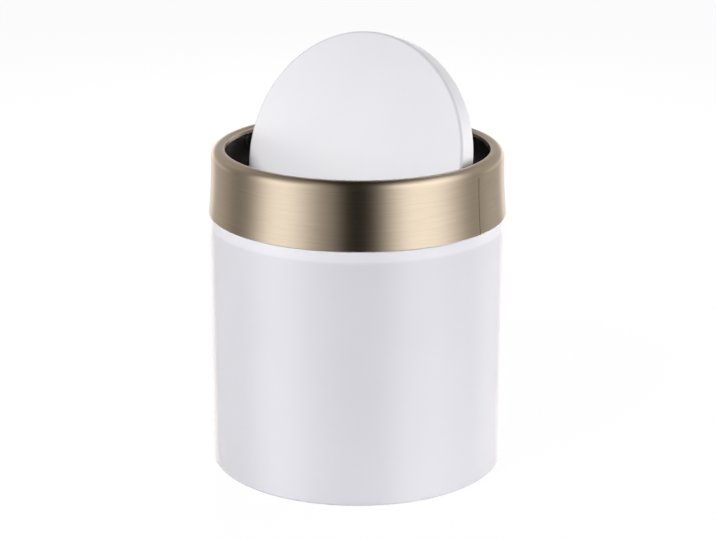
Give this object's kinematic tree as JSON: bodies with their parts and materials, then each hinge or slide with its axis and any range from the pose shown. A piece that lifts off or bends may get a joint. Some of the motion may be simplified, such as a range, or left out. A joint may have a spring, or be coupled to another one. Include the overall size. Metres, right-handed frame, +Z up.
{
  "type": "countertop trash can with swing lid",
  "caption": "Round countertop bin: white metal can, brushed brass collar that lifts off to empty it, and a round white lid that swings on a rod across the mouth.",
  "frame": {"origin": "centre of the base, on the surface the can stands on", "axes": "+Z up along the can's axis, +X along the lid's rod, -Y to the front, where the lid is pushed open"},
  "size_m": [0.1206, 0.1206, 0.1767],
  "materials": {
    "can_coat": "satin white powder coat",
    "pan_coat": "satin white powder coat",
    "base_rubber": "matt foam rubber",
    "collar_brass": "fine circular brushing",
    "ring_black": "moulded, glossy",
    "bush_acetal": "moulded, black",
    "lid_white": "satin moulded",
    "underside_white": "moulded, fine grain",
    "rod_steel": "bright drawn",
    "weight_steel": "zinc plated, rolled",
    "screw_steel": "zinc plated"
  },
  "bodies": {
    "can": {"can_shell": "can_coat", "can_bottom": "pan_coat", "base_ring": "base_rubber"},
    "collar": {"collar_ring": "collar_brass", "pivot_ring": "ring_black", "pivot_bush_left": "bush_acetal", "pivot_bush_right": "bush_acetal"},
    "lid": {"lid_cap": "lid_white", "lid_underside": "underside_white", "pivot_rod": "rod_steel", "counterweight": "weight_steel", "weight_screws": "screw_steel", "lid_screws": "screw_steel"}
  },
  "joints": [
    {"name": "collar_lift", "type": "slide", "parent": "can", "child": "collar", "axis": [0, 0, 1], "range_m": [0, 0.06]},
    {"name": "lid_swing", "type": "hinge", "parent": "collar", "child": "lid", "pos_m": [0, 0, 0.1269], "axis": [1, 0, 0], "continuous": true}
  ]
}
